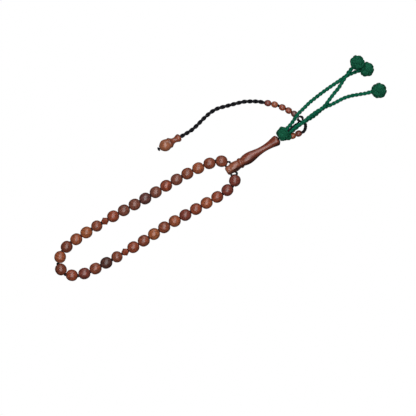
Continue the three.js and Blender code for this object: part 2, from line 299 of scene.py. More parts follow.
def yarn(name, shadow, middle, light, roughness, shine, fibre_count=7.0, slant=0.9, relief=0.00009):
    """Twisted yarn. The UV map "ply" runs once round each ply across, and in mm along."""
    material = bpy.data.materials.new(name)
    material.use_nodes = True
    tree = material.node_tree
    shader = tree.nodes["Principled BSDF"]
    uv = node(tree, "ShaderNodeUVMap", uv_map="ply").outputs["UV"]
    parts = node(tree, "ShaderNodeSeparateXYZ", {"Vector": uv})
    coords = node(tree, "ShaderNodeTexCoord").outputs["Object"]
    wobble = noise(tree, coords, 900.0, 3.0, 0.6)
    phase = math_node(tree, "MULTIPLY", parts.outputs["X"], fibre_count)
    phase = math_node(tree, "MULTIPLY_ADD", parts.outputs["Y"], slant, phase)
    phase = math_node(tree, "MULTIPLY_ADD", wobble, 1.3, phase)
    fibre = math_node(tree, "MULTIPLY", math_node(tree, "PINGPONG", phase, 0.5), 2.0)
    fuzz = noise(tree, coords, 2600.0, 4.0, 0.7)
    blotch = noise(tree, coords, 260.0, 3.0, 0.6)
    tone = math_node(tree, "MULTIPLY_ADD", fibre, 0.42, math_node(tree, "MULTIPLY", fuzz, 0.36))
    tone = math_node(tree, "MULTIPLY_ADD", blotch, 0.3, tone)
    color = ramp(tree, tone, [(0.22, shadow), (0.52, middle), (0.85, light)])
    tree.links.new(color, shader.inputs["Base Color"])
    shader.inputs["Roughness"].default_value = roughness
    shader.inputs["Specular IOR Level"].default_value = shine
    height = math_node(tree, "MULTIPLY_ADD", fibre, 0.8, math_node(tree, "MULTIPLY", fuzz, 0.5))
    bump = node(tree, "ShaderNodeBump", {"Height": height, "Strength": 0.8, "Distance": relief})
    tree.links.new(bump.outputs["Normal"], shader.inputs["Normal"])
    return material


GREEN = yarn("green_cord", linear(2, 44, 28), linear(8, 106, 76), linear(34, 150, 114), 0.8, 0.12)
KNOT_GREEN = yarn("green_knot", linear(6, 44, 30), linear(20, 94, 66), linear(44, 128, 96), 0.85, 0.1)
BLACK = yarn("black_cord", linear(3, 3, 4), linear(16, 16, 21), linear(48, 48, 58), 0.55, 0.22, 5.0)

# ---------------------------------------------------------------- mesh helpers


def make(name, verts, faces, material, uvs=None):
    mesh = bpy.data.meshes.new(name)
    mesh.from_pydata((np.asarray(verts, float) * MM).tolist(), [], faces)
    if uvs is not None:
        layer = mesh.uv_layers.new(name="ply")
        layer.data.foreach_set("uv", np.asarray(uvs, float).ravel())
    mesh.polygons.foreach_set("use_smooth", [True] * len(mesh.polygons))
    mesh.materials.append(material)
    mesh.validate()
    mesh.update()
    piece = bpy.data.objects.new(name, mesh)
    SCENE.collection.objects.link(piece)
    return piece


def spline(points, spacing):
    """Points about every `spacing` along a centripetal Catmull-Rom curve through the given ones."""
    given = np.asarray(points, float)
    ends = [2 * given[0] - given[1], *given, 2 * given[-1] - given[-2]]
    dense = []
    for p0, p1, p2, p3 in zip(ends, ends[1:], ends[2:], ends[3:]):
        t0 = 0.0
        t1 = t0 + math.sqrt(max(np.linalg.norm(p1 - p0), 1e-9))
        t2 = t1 + math.sqrt(max(np.linalg.norm(p2 - p1), 1e-9))
        t3 = t2 + math.sqrt(max(np.linalg.norm(p3 - p2), 1e-9))
        for t in np.linspace(t1, t2, 24, endpoint=False):
            a1 = (t1 - t) / (t1 - t0) * p0 + (t - t0) / (t1 - t0) * p1
            a2 = (t2 - t) / (t2 - t1) * p1 + (t - t1) / (t2 - t1) * p2
            a3 = (t3 - t) / (t3 - t2) * p2 + (t - t2) / (t3 - t2) * p3
            b1 = (t2 - t) / (t2 - t0) * a1 + (t - t0) / (t2 - t0) * a2
            b2 = (t3 - t) / (t3 - t1) * a2 + (t - t1) / (t3 - t1) * a3
            dense.append((t2 - t) / (t2 - t1) * b1 + (t - t1) / (t2 - t1) * b2)
    dense.append(given[-1])
    return resample(np.array(dense), spacing)


def resample(points, spacing):
    steps = np.linalg.norm(np.diff(points, axis=0), axis=1)
    along = np.concatenate([[0], np.cumsum(steps)])
    count = max(2, int(round(along[-1] / spacing)) + 1)
    wanted = np.linspace(0, along[-1], count)
    return np.stack([np.interp(wanted, along, points[:, axis]) for axis in range(points.shape[1])], 1)


def arc_lengths(path):
    return np.concatenate([[0], np.cumsum(np.linalg.norm(np.diff(path, axis=0), axis=1))])


def side_vectors(path, closed=False):
    """Two unit vectors across the path at each point, which don't spin round it."""
    if closed:
        tangents = np.roll(path, -1, axis=0) - np.roll(path, 1, axis=0)
    else:
        tangents = np.gradient(path, axis=0)
    tangents /= np.linalg.norm(tangents, axis=1)[:, None]
    start = np.cross(tangents[0], [0.0, 0.0, 1.0])
    if np.linalg.norm(start) < 0.1:
        start = np.cross(tangents[0], [1.0, 0.0, 0.0])
    across = [start / np.linalg.norm(start)]
    for index in range(1, len(path)):
        step = path[index] - path[index - 1]
        size = step @ step
        turned = across[-1] - 2 / size * (step @ across[-1]) * step
        ahead = tangents[index - 1] - 2 / size * (step @ tangents[index - 1]) * step
        change = tangents[index] - ahead
        size = change @ change
        if size > 1e-12:
            turned = turned - 2 / size * (change @ turned) * change
        across.append(turned / np.linalg.norm(turned))
    across = np.array(across)
    return across, np.cross(tangents, across)


def quad_uvs(side, sides, start, end):
    """The UVs of one face of a tube, from `start` to `end` along it."""
    left, right = side / sides, (side + 1) / sides
    return [(left, start), (right, start), (right, end), (left, end)]


def tube(path, radii, sides, closed=False):
    """Vertices, faces and UVs of a tube along a path, with a point at each end when it isn't closed."""
    path = np.asarray(path, float)
    radii = np.broadcast_to(np.asarray(radii, float), (len(path),)).copy()
    first, second = side_vectors(path, closed)
    angles = np.arange(sides) * 2 * math.pi / sides
    ring = (
        np.cos(angles)[None, :, None] * first[:, None, :]
        + np.sin(angles)[None, :, None] * second[:, None, :]
    )
    verts = (path[:, None, :] + radii[:, None, None] * ring).reshape(-1, 3)
    along = arc_lengths(path)
    count = len(path)
    faces, uvs = [], []
    for row in range(count - 1):
        for side in range(sides):
            after = (side + 1) % sides
            a = row * sides
            b = a + sides
            faces.append((a + side, a + after, b + after, b + side))
            uvs += quad_uvs(side, sides, along[row], along[row + 1])
    if closed:
        # The last ring joins the first by the nearest corner.
        last = verts[-sides:]
        misses = [np.linalg.norm(last - np.roll(verts[:sides], -turn, axis=0)) for turn in range(sides)]
        shift = int(np.argmin(misses))
        a = (count - 1) * sides
        for side in range(sides):
            after = (side + 1) % sides
            faces.append((a + side, a + after, (after + shift) % sides, (side + shift) % sides))
            uvs += quad_uvs(side, sides, along[-1], along[-1] + 0.4)
    else:
        for row, sign, level in ((0, -1, along[0]), (count - 1, 1, along[-1])):
            tangent = np.cross(first[row], second[row])
            tip = len(verts)
            verts = np.vstack([verts, path[row] + sign * tangent * radii[row] * 0.6])
            base = row * sides
            for side in range(sides):
                after = (side + 1) % sides
                if sign < 0:
                    faces.append((base + after, base + side, tip))
                else:
                    faces.append((base + side, base + after, tip))
                uvs += [(side / sides, level)] * 3
    return verts, faces, uvs


class Bundle:
    """Collects parts of one mesh."""

    def __init__(self):
        self.verts, self.faces, self.uvs, self.count = [], [], [], 0

    def add(self, verts, faces, uvs):
        self.verts.append(verts)
        self.faces += [tuple(index + self.count for index in face) for face in faces]
        self.uvs += uvs
        self.count += len(verts)

    def make(self, name, material):
        return make(name, np.vstack(self.verts), self.faces, material, self.uvs)


def twist(bundle, path, radius, lobe, plies=2, sides=10, closed=False, start=0.0, swell=None, share=0.54):
    """Adds a cord of plies twisted round the path.

    `lobe` is the length from one ply to the next, and `share` is a ply's radius over the cord's.
    """
    path = np.asarray(path, float)
    first, second = side_vectors(path, closed)
    along = arc_lengths(path)
    total = along[-1] + (np.linalg.norm(path[0] - path[-1]) if closed else 0)
    turns = total / (lobe * plies)
    if closed:
        turns = max(1.0, round(turns))
    factor = np.ones(len(path)) if swell is None else np.asarray(swell, float)
    ply = radius * share
    offset = (radius - ply) * factor
    for number in range(plies):
        angle = start + 2 * math.pi * (turns * along / total + number / plies)
        centre = (
            path
            + (offset * np.cos(angle))[:, None] * first
            + (offset * np.sin(angle))[:, None] * second
        )
        bundle.add(*tube(centre, ply * factor, sides, closed))


def lathe(profile, segments, origin, axis, wobble=None):
    """Vertices and faces of a closed profile of (along, radius) turned round an axis."""
    profile = np.asarray(profile, float)
    axis = np.asarray(axis, float) / np.linalg.norm(axis)
    side = np.cross(axis, [0.0, 0.0, 1.0])
    side /= np.linalg.norm(side)
    up = np.cross(side, axis)
    angles = np.arange(segments) * 2 * math.pi / segments
    spokes = np.cos(angles)[:, None] * side + np.sin(angles)[:, None] * up
    radii = np.broadcast_to(profile[:, 1][:, None], (len(profile), segments)).copy()
    if wobble is not None:
        radii *= wobble(profile[:, 0][:, None], angles[None, :])
    verts = (
        np.asarray(origin, float)
        + profile[:, 0][:, None, None] * axis
        + radii[:, :, None] * spokes[None]
    ).reshape(-1, 3)
    rows = len(profile)
    faces = []
    for row in range(rows):
        below = (row + 1) % rows * segments
        here = row * segments
        for spoke in range(segments):
            after = (spoke + 1) % segments
            faces.append((here + spoke, below + spoke, below + after, here + after))
    return verts, faces


def smooth_outline(points, spacing):
    return spline([(along, radius, 0.0) for along, radius in points], spacing)[:, :2]


def sharpen(piece, degrees):
    piece.data.set_sharp_from_angle(angle=math.radians(degrees))


def unit(vector):
    vector = np.asarray(vector, float)
    return vector / np.linalg.norm(vector)


def centre_of(joint):
    return np.array(JOINTS[joint]["pos_m"]) / MM


def axis_of(joint):
    return unit(JOINTS[joint]["axis"])


def two(number):
    return f"{number:02d}"


# ---------------------------------------------------------------- tassel cords

CORD_SURFACE = 1.24  # radius, where the plies bulge
CORD_LOBE = 2.5
TASSEL_KNOT = {"at": (46.6, -9.6, 4.55), "half": (4.15, 5.05, 4.45)}
END_KNOTS = [
    {"at": (110.4, -2, 4.1), "half": (4.7, 4.6, 3.98), "body": "tassel"},
    {"at": (107.25, 4.3, 8.95), "half": (4.5, 4.9, 4.1), "body": "tassel"},
    {"at": (110.1, -16.9, 4.45), "half": (4.9, 4.9, 4.35), "body": "cord_3_tip"},
]

CORD_1 = [
    (48.6, -8.6, 5.6), (50.6, -7.75, 6.3), (52.2, -7.35, 6.2), (54.1, -6.75, 5.9), (56.1, -5.85, 5.5),
    (58.1, -4.9, 5.25), (60.1, -4, 5.1), (62.1, -3.4, 4.7), (66, -2.5, 3.6), (70, -1.5, 2.4),
    (74, -0.9, 1.55), (78, -0.4, 1.22), (82, 0, 1.2), (86, 0.3, 1.2), (90, 0.5, 1.2), (94, 0.75, 1.2),
    (97, 0.95, 1.3), (100, 0.8, 1.75), (102, 0.5, 2.4), (104, 0.15, 3.1), (106, -0.25, 3.65),
    (108, -0.9, 3.9),
]
CORD_2 = [
    (49, -9.9, 5.4), (51.1, -10.25, 5.95), (54, -9.95, 6.05), (58, -9.8, 5.95), (61, -9.7, 5.85),
    (64, -9.1, 5.6), (68, -8.65, 4.8), (71, -8.35, 4.2), (74, -8.4, 3.85), (76, -8.15, 3.8),
    (78, -7.6, 3.65), (80, -6.75, 3.4), (82, -5.9, 3.3), (86, -4.3, 3.35), (90, -2.9, 3.6),
    (92, -1.8, 3.75), (94, -0.8, 3.85), (96, 0.2, 3.95), (98, 1.1, 4.1), (100, 2.15, 4.7),
    (101.8, 2.8, 5.5), (103.3, 3.2, 6.35), (105.0, 3.7, 7.5),
]
CORD_3 = [
    (49, -10.6, 3.7), (51.1, -10.9, 3.5), (54, -10.65, 3.5), (58, -10, 3.4), (61, -9.8, 3.3),
    (64, -9.85, 3.05), (67, -9.85, 2.5), (70, -9.6, 1.75), (72.5, -9.1, 1.3), (75, -8.7, 1.2),
    (77.5, -8.69, 1.2), (80, -9.15, 1.2), (84, -9.5, 1.2), (88, -9.7, 1.2), (90, -9.9, 1.2),
    (92, -10.3, 1.2), (94, -10.9, 1.2), (96, -11.55, 1.25), (98, -12.4, 1.5), (100, -13.15, 1.9),
    (102, -14, 2.5), (103.7, -14.55, 3), (105.1, -15, 3.4), (107, -15.6, 3.9),
]


def swollen(path, reach, amount):
    """A cord that grows thicker over the last `reach` mm, towards its knot."""
    left = arc_lengths(path)[-1] - arc_lengths(path)
    return 1 + amount * np.clip(1 - left / reach, 0, 1) ** 2


def tassel_cord(name, route, start):
    path = spline(route, 0.32)
    path[:, 2] = np.maximum(path[:, 2], CORD_SURFACE + 0.03)
    bundle = Bundle()
    twist(
        bundle, path, CORD_SURFACE, CORD_LOBE, sides=12, start=start,
        swell=swollen(path, 6, 0.25), share=0.6,
    )
    return bundle.make(name, GREEN), path


def ball_knot(name, at, half, axis, strand=1.3, leads=5, bights=4, material=None, reach=64.0):
    """A Turk's head: one cord that goes over and under itself all round a plain filled ball."""
    tilt = np.array(Vector((0, 0, 1)).rotation_difference(Vector(axis)).to_matrix())
    turns = np.linspace(0, 2 * math.pi * leads, 1400, endpoint=False)
    phase = turns * bights / leads
    weave = np.clip(1.7 * np.sin((leads - 1) * phase), -1, 1)
    depth = 1.03 - (strand * (1.0 + 0.24 * (1 - weave))) / half[0]
    latitude = math.radians(reach) * np.cos(phase)
    path = np.stack(
        [
            depth * np.cos(latitude) * np.cos(turns),
            depth * np.cos(latitude) * np.sin(turns),
            depth * np.sin(latitude),
        ],
        1,
    )
    path = path @ tilt.T * np.array(half) + np.array(at)
    path = resample(np.vstack([path, path[:1]]), 0.42)[:-1]
    bundle = Bundle()
    twist(bundle, path, strand, 2.4, sides=8, closed=True, share=0.8)
    rows, segments = 14, 24
    core = []
    for row in range(1, rows):
        angle = math.pi * row / rows
        for spoke in range(segments):
            turn = 2 * math.pi * spoke / segments
            core.append((math.sin(angle) * math.cos(turn), math.sin(angle) * math.sin(turn), math.cos(angle)))
    core = [(0, 0, 1), *core, (0, 0, -1)]
    faces = []
    for spoke in range(segments):
        after = (spoke + 1) % segments
        faces.append((0, 1 + spoke, 1 + after))
        last = 1 + (rows - 2) * segments
        faces.append((last + after, last + spoke, len(core) - 1))
        for row in range(rows - 2):
            here = 1 + row * segments
            faces.append((here + spoke, here + segments + spoke, here + segments + after, here + after))
    inner = 1 - 0.52 * strand / half[0]
    verts = np.array(core) * np.array(half) * inner + np.array(at)
    uvs = [(0.0, 0.0) for face in faces for _ in face]
    bundle.add(verts, faces, uvs)
    return bundle.make(name, material or KNOT_GREEN)


cord_1, path_1 = tassel_cord("tassel_cord_1_twist", CORD_1, 0.4)
cord_2, path_2 = tassel_cord("tassel_cord_2_twist", CORD_2, 1.9)
cord_3, path_3 = tassel_cord("tassel_cord_3_twist", CORD_3, 1.0)

for number, (knot, path) in enumerate(zip(END_KNOTS, (path_1, path_2, path_3)), 1):
    piece = ball_knot(f"end_knot_{number}_weave", knot["at"], knot["half"], unit(path[-1] - path[-12]))
    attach(piece, knot["body"])
    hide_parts(f"end_knot_{number}")

tassel_knot = ball_knot("tassel_knot_weave", TASSEL_KNOT["at"], TASSEL_KNOT["half"], (1, 0, 0), strand=1.4)


def knot_bight():
    """The end of the knot's own cord, tucked over the first small bead."""
    route = [
        (46.6, -12.4, 4.3), (47.4, -13.5, 4.7), (48.4, -13.9, 4.9), (49.3, -13.5, 5.0),
        (49.6, -12.5, 5.1), (49.4, -11.3, 5.2),
    ]
    bundle = Bundle()
    twist(bundle, spline(route, 0.3), 0.95, 2.2, sides=10, share=0.62)
    piece = bundle.make("tassel_knot_bight", KNOT_GREEN)
    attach(piece, "tassel")


knot_bight()
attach(tassel_knot, "tassel")
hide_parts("tassel_knot")

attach(cord_1, "tassel")
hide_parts("tassel_cord_1")
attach(cord_2, "tassel")
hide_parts("tassel_cord_2")
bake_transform(cord_3)
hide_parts("tassel_cord_3_inner", "tassel_cord_3_outer")

# ---------------------------------------------------------------- loop thread

THREAD_RADIUS = 0.88
GAP_SHADE_SWELL = 0.45  # how much wider the thread is in the gaps between beads, a dark swell that is painted shade
GAP_SHADE_REACH = 0.35
BEAD_RADIUS = 3.5
BEAD_SURFACE = 3.55  # radius of the turned surface, 0.05 mm over the CAD's
FOLD_BEADS = (12, 22)  # these two close up on a marker bead when the loop folds
FOLD_SURFACE = 3.46
MARKER_HALF = 1.85


def thread_order():
    """Bead and marker names round the loop from the imame, with half their lengths."""
    order = []
    for bead in range(1, 34):
        order.append((f"bead_{two(bead)}", BEAD_RADIUS))
        if bead in (11, 22):
            order.append((f"marker_bead_{bead // 11}", MARKER_HALF))
    return order


ORDER = thread_order()
PLACE = {name: (centre_of(f"turn_{name}"), axis_of(f"turn_{name}")) for name, _ in ORDER}


def mouth(index, sign):
    name, half = ORDER[index]
    centre, axis = PLACE[name]
    return centre + axis * sign * (half - 0.05)


def thread_stations(first, last):
    stations = []
    for index in range(first, last + 1):
        stations += [mouth(index, -1), mouth(index, 1)]
    return stations


def bead_index(number):
    return [name for name, _ in ORDER].index(f"bead_{two(number)}")


def loop_thread(name, stations):
    """The thread through a run of beads. It swells in the gaps between them, as painted shade between the
    beads.
    """
    path = resample(np.array(stations), 0.22)
    gaps = [(end + start) / 2 for end, start in zip(stations[1:-1:2], stations[2::2])]
    near = np.min([np.linalg.norm(path - gap, axis=1) for gap in gaps], axis=0)
    # The thread is real; its swell in the gaps is painted shade between the beads.
    shade_swell = 1 + GAP_SHADE_SWELL * np.exp(-((near / GAP_SHADE_REACH) ** 2))
    bundle = Bundle()
    twist(bundle, path, THREAD_RADIUS, 1.3, sides=6, swell=shade_swell, share=0.72)
    piece = bundle.make(name, BLACK)
    return piece, path


FIRST_FAR, LAST_FAR = bead_index(12), bead_index(22)
middle_of_12 = [PLACE["bead_12"][0] + PLACE["bead_12"][1] * 1.0]
middle_of_22 = [PLACE["bead_22"][0] - PLACE["bead_22"][1] * 1.0]
upper_stations = thread_stations(0, FIRST_FAR - 1) + [mouth(FIRST_FAR, -1)] + middle_of_12
far_stations = middle_of_12 + [mouth(FIRST_FAR, 1)] + thread_stations(FIRST_FAR + 1, LAST_FAR - 1)
far_stations += [mouth(LAST_FAR, -1)] + middle_of_22
lower_stations = middle_of_22 + [mouth(LAST_FAR, 1)] + thread_stations(LAST_FAR + 1, len(ORDER) - 1)

thread_upper, upper_path = loop_thread("loop_thread_upper", upper_stations)
thread_far, far_path = loop_thread("loop_thread_far", far_stations)
thread_lower, lower_path = loop_thread("loop_thread_lower", lower_stations)
mouth(FIRST_FAR - 1, 1) * MM
mouth(FIRST_FAR, -1) * MM
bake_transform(thread_upper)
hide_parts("thread_upper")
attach(thread_far, "loop_far")
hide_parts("thread_far")
mouth(LAST_FAR + 1, -1) * MM
mouth(LAST_FAR, 1) * MM
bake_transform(thread_lower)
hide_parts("thread_lower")

# The imame: axis, and places along it, measured from its blunt end.
IMAME_PIVOT = np.array([8.45, -11.45, 3.52])
IMAME_AXIS = np.array([math.cos(math.radians(1)), math.sin(math.radians(1)), 0.0])
IMAME_SIDE = np.array([-IMAME_AXIS[1], IMAME_AXIS[0], 0.0])
PIVOT_FROM_END = 3.15
CROSS_HOLE = 0.7
HOLES = (1.55, 4.75)
NECK_WRAPS = ((36.98, 1.9), (37.2, 1.4))  # (along, radius) of the turns of thread below the knot


def on_imame(along, side=0.0, up=0.0):
    return IMAME_PIVOT + IMAME_AXIS * (along - PIVOT_FROM_END) + IMAME_SIDE * side + np.array([0, 0, up])


def lead(name, index, sign, side):
    """The two strands from a bead's mouth into the imame's cross holes."""
    bundle = Bundle()
    start = mouth(index, sign)
    inside = start - PLACE[ORDER[index][0]][1] * sign * 1.2
    for hole, bow, lift in ((HOLES[0], -0.25, 0.12), (HOLES[1], 0.55, -0.12)):
        entry = on_imame(hole, side * 3.35)
        middle = (start + entry) / 2 + IMAME_AXIS * bow
        route = [
            inside, start + np.array([0, 0, lift]), middle + np.array([0, 0, lift * 2]), entry,
            on_imame(hole, side * 2.6), on_imame(hole, side * 1.6),
        ]
        twist(bundle, spline(route, 0.2), 0.7, 1.4, sides=8, share=0.68)
    piece = bundle.make(name, BLACK)
    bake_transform(piece)
    return piece


lead_upper = lead("loop_lead_upper", 0, -1, 1)
lead_lower = lead("loop_lead_lower", len(ORDER) - 1, 1, -1)


def core_thread():
    """The thread inside the imame: up the bore, across the cross holes, and round below the knot."""
    bundle = Bundle()
    top = 37.6
    rise = [on_imame(HOLES[0]), on_imame(12), on_imame(24), on_imame(36), on_imame(top)]
    twist(bundle, spline(rise, 0.35), 0.45, 1.3, sides=8)
    for hole in HOLES:
        across = [on_imame(hole, side) for side in (-1.9, 0, 1.9)]
        twist(bundle, spline(across, 0.25), 0.6, 1.3, sides=8, share=0.64)
    for place, size in NECK_WRAPS:
        turn = np.linspace(0, 2 * math.pi, 60, endpoint=False)
        ring = np.array([on_imame(place, size * math.cos(a), size * math.sin(a)) for a in turn])
        twist(bundle, ring, 0.42, 1.2, sides=8, closed=True, share=0.7)
    piece = bundle.make("imame_core_strands", BLACK)
    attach(piece, "imame")
    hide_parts("imame_core_thread")


core_thread()

# ---------------------------------------------------------------- counter cord

TAIL_IN = [(48.2, -12.1, 2.9), (49.2, -12.75, 2.3)]
TAIL_BEADS = ("counter_bead_1", "counter_bead_2")
STRAND_BEADS = tuple(f"counter_bead_{number}" for number in range(3, 8))
UNDER = [
    (57.7, -14.75, 1.6), (59.2, -14.2, 1.2), (60.4, -13.15, 0.85), (61.2, -11.9, 0.7), (61.5, -10.6, 0.7),
]
EYE = np.array([60.45, -6.95, 0.75])
STRAND_SPLIT = 0.42  # how far each of the doubled strands lies from the middle
EYE_RADIUS = 1.45
STRAND_RADIUS = 0.5
TAIL_BEND = 13.5  # along the cord, where the tail turns back under the tassel
COUNTER_HALF = 1.85


def through(names):
    """Both mouths of each small bead, in order."""
    stations = []
    for name in names:
        centre, axis = centre_of(f"turn_{name}"), axis_of(f"turn_{name}")
        stations += [tuple(centre + axis * side * COUNTER_HALF) for side in (-1, 1)]
    return stations


EYE_MIDDLE = [(61.35, -9.6, 0.7), (60.9, -8.7, 0.72), (60.45, -6.95, 0.8), (60.05, -5.35, 1.15)]
INNER_END = [(46.6, 12.85, 1.8), (45.8, 13.5, 1.65)]
INNER_ROUTE = [
    *TAIL_IN, *through(TAIL_BEADS), *UNDER, *EYE_MIDDLE, *through(STRAND_BEADS), *INNER_END,
]


def inner_cord():
    """The doubled black cord. Its two strands lie side by side, and part round the eye."""
    path = spline(INNER_ROUTE, 0.25)
    along = arc_lengths(path)
    first, second = side_vectors(path)
    near = np.linalg.norm(path - EYE, axis=1)
    eye_at = along[int(np.argmin(near))]
    opening = np.exp(-(((along - eye_at) / 1.2) ** 4))
    ring = np.sqrt(np.clip(EYE_RADIUS**2 - (along - eye_at) ** 2, 0, None))
    apart = np.convolve(np.maximum(ring, STRAND_SPLIT), (0.25, 0.5, 0.25), "same")
    apart[[0, -1]] = STRAND_SPLIT
    bend = np.exp(-(((along - TAIL_BEND) / 3.2) ** 4))
    level = np.cross(np.gradient(path, axis=0), [0.0, 0.0, 1.0])
    level /= np.linalg.norm(level, axis=1)[:, None]
    roll = 0.35 * np.sin(along / 5.0)
    up = np.array([0.0, 0.0, 1.0])
    bundle = Bundle()
    for side in (-1, 1):
        shift = level * (apart * np.cos(roll * (1 - opening)))[:, None]
        shift = shift + up * (apart * np.sin(roll * (1 - opening)))[:, None]
        radius = STRAND_RADIUS * (1 + 0.75 * opening + 0.3 * bend)
        strand = path + side * shift
        strand[:, 2] = np.maximum(strand[:, 2], radius + 0.03)
        twist(bundle, strand, radius, 1.3, sides=8, start=side, share=0.7)
    piece = bundle.make("counter_cord_doubled", BLACK)
    return piece, path


def stray_cord():
    """The single strand from the tassel knot along the green cords to the eye."""
    route = [
        (50, -9.6, 7.2), (51.6, -9.1, 7.3), (53.6, -8.75, 6.8), (55.4, -8.5, 5.6), (57, -8.5, 3.6),
        (58.2, -8.35, 1.6), (58.95, -7.85, 0.85), (59.35, -7.2, 0.75),
    ]
    bundle = Bundle()
    twist(bundle, spline(route, 0.25), 0.62, 1.4, sides=8, share=0.72)
    piece = bundle.make("counter_cord_single", BLACK)
    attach(piece, "tassel")
    return piece


inner, inner_path = inner_cord()
stray = stray_cord()
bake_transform(inner)
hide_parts("counter_cord_tail", "counter_cord_beaded")

STRAND_SURFACE = 1.3
STRAND_ROUTE = [
    (47.2, 12.3, 1.85), (46.3, 13.1, 1.7), (44.6, 14.7, 1.35), (42.6, 16.1, 1.2), (39.6, 17.9, 1.2),
    (36.4, 19.6, 1.2), (30.9, 21.4, 1.2), (25.65, 22.9, 1.2), (20.6, 24.3, 1.2), (16.85, 24.5, 1.2),
    (11.2, 23.7, 1.2), (5.3, 22.2, 1.2), (1.65, 21.4, 1.25), (-1.5, 21.1, 1.45), (-4.6, 21.12, 1.95),
    (-7.2, 21.15, 2.25), (-9.0, 21.2, 2.5),
]


def outer_cord():
    path = spline(STRAND_ROUTE, 0.32)
    path[:, 2] = np.maximum(path[:, 2], STRAND_SURFACE + 0.02)
    along = arc_lengths(path)
    ends = np.clip(along / 2.2, 0, 1) * np.clip((along[-1] - along + 0.4) / 2.6, 0, 1)
    bundle = Bundle()
    twist(bundle, path, STRAND_SURFACE, 3.4, sides=12, start=0.6, swell=0.82 + 0.18 * ends)
    piece = bundle.make("counter_cord_twist", BLACK)
    return piece, path


outer, outer_path = outer_cord()
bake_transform(outer)
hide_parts("counter_cord_strand")

# ---------------------------------------------------------------- beads

BEAD_TONES = [
    "brown", "brown", "orange", "brown", "maroon", "red", "maroon", "plum", "maroon", "brown", "red",
    "brown", "tan", "orange", "dark", "orange", "dark", "red", "maroon", "brown", "grey", "brown",
    "red", "brown", "tan", "red", "orange", "maroon", "red", "orange", "red", "maroon", "maroon",
]
# Beads that look nearer to another tone than their slot's. Bead 26 is a guess.
BEAD_SHADES = {5: "russet", 7: "russet", 9: "russet", 10: "russet", 26: "brown"}
COUNTER_TONES = ["orange", "maroon", "plum", "red", "red", "orange", "maroon"]
BORE = 0.95
BEAD_MOUTH = 1.28
BEAD_HALF = 3.68
BEAD_FULLNESS = 2.15


def bored(outline, bore, half):
    """Closes an outline with a countersunk hole along the axis."""
    wall = [(half - 0.28, bore), (half * 0.5, bore), (0, bore), (-half * 0.5, bore), (-half + 0.28, bore)]
    return [*outline, *wall]


def bead_outline(radius, half, fullness, mouth, rows):
    """A ball that is a little full at its ends, from mouth to mouth. A fullness of 2 is an ellipse."""
    start = math.asin((mouth / radius) ** (fullness / 2))
    angles = np.linspace(start, math.pi - start, rows)
    power = 2 / fullness
    outline = []
    for angle in angles:
        along = -math.copysign(half * abs(math.cos(angle)) ** power, math.cos(angle))
        outline.append((along, radius * math.sin(angle) ** power))
    return outline


def main_bead(number):
    name = f"bead_{two(number)}"
    centre, axis = PLACE[name]
    dice = random.Random(900 + number)
    oval, turn = dice.uniform(0.002, 0.007), dice.uniform(0, 6.28)
    flat = dice.uniform(-0.006, 0.006)

    def wobble(along, angle):
        return 1 - oval + oval * np.cos(2 * angle + turn) + flat * np.cos(along / BEAD_RADIUS * 3.1)

    if number in FOLD_BEADS:
        shape = bead_outline(FOLD_SURFACE, FOLD_SURFACE, 2, BEAD_MOUTH, 30)
    else:
        shape = bead_outline(BEAD_SURFACE, BEAD_HALF, BEAD_FULLNESS, BEAD_MOUTH, 30)
    outline = bored(shape, BORE, shape[-1][0])
    verts, faces = lathe(outline, 48, centre, axis, wobble)
    shade = BEAD_SHADES.get(number, BEAD_TONES[number - 1])
    material = wood(f"wood_bead_{two(number)}", shade, 100 + number)
    piece = make(f"{name}_turned", verts, faces, material)
    sharpen(piece, 40)
    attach(piece, name)
    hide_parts(name)


for number in range(1, 34):
    main_bead(number)


def marker(number):
    name = f"marker_bead_{number}"
    centre, axis = PLACE[name]
    half = [
        (-1.86, 1.05), (-1.84, 1.3), (-1.75, 1.44), (-1.5, 1.56), (-1.1, 1.78), (-0.65, 2.06),
        (-0.3, 2.33), (-0.1, 2.48), (0, 2.52),
    ]
    points = half + [(-along, radius) for along, radius in half[-2::-1]]
    outline = bored([tuple(point) for point in smooth_outline(points, 0.14)], BORE, MARKER_HALF)
    verts, faces = lathe(outline, 48, centre, axis)
    piece = make(f"{name}_turned", verts, faces, wood(f"wood_marker_{number}", "red", 300 + number))
    sharpen(piece, 40)
    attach(piece, name)
    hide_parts(name)


marker(1)
marker(2)


def counter_bead(number):
    name = f"counter_bead_{number}"
    centre, axis = centre_of(f"turn_{name}"), axis_of(f"turn_{name}")
    lip, radius, rows = 1.16, 1.97, 22
    places = [-math.cos(angle) for angle in np.linspace(0.1, math.pi - 0.1, rows)]
    outline = [
        (COUNTER_HALF * place, math.sqrt(radius**2 - place**2 * (radius**2 - lip**2)))
        for place in places
    ]
    verts, faces = lathe(bored(outline, 1.05, COUNTER_HALF * 0.97), 36, centre, axis)
    tone = COUNTER_TONES[number - 1]
    piece = make(f"{name}_turned", verts, faces, wood(f"wood_counter_{number}", tone, 400 + number))
    sharpen(piece, 40)
    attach(piece, name)
    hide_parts(name)


for number in range(1, 8):
    counter_bead(number)

# ---------------------------------------------------------------- imame

IMAME_OUTLINE = [
    (0.0, 1.0), (0.03, 1.65), (0.22, 2.12), (0.6, 2.5), (1.2, 2.78), (2.0, 2.86), (2.6, 2.78),
    (2.85, 2.72), (3.1, 2.82), (3.8, 3.02), (4.8, 3.17), (5.7, 3.24), (6.8, 3.16), (7.7, 3.0),
    (8.4, 2.84), (8.75, 2.72), (9.0, 2.78), (9.3, 3.05), (9.7, 3.25), (10.1, 3.3), (10.5, 3.22),
    (10.9, 3.0), (11.2, 2.78), (11.45, 2.72), (11.8, 2.84), (12.6, 3.1), (13.8, 3.35), (15.5, 3.48),
    (17.2, 3.38), (19.0, 3.08), (21.0, 2.66), (23.2, 2.28), (25.0, 2.1), (26.8, 2.05), (29.0, 2.15),
    (31.5, 2.47), (33.6, 2.92), (35.0, 3.21), (35.75, 3.27), (36.3, 3.18), (36.7, 2.9), (36.85, 2.5),
    (36.85, 1.3),
]
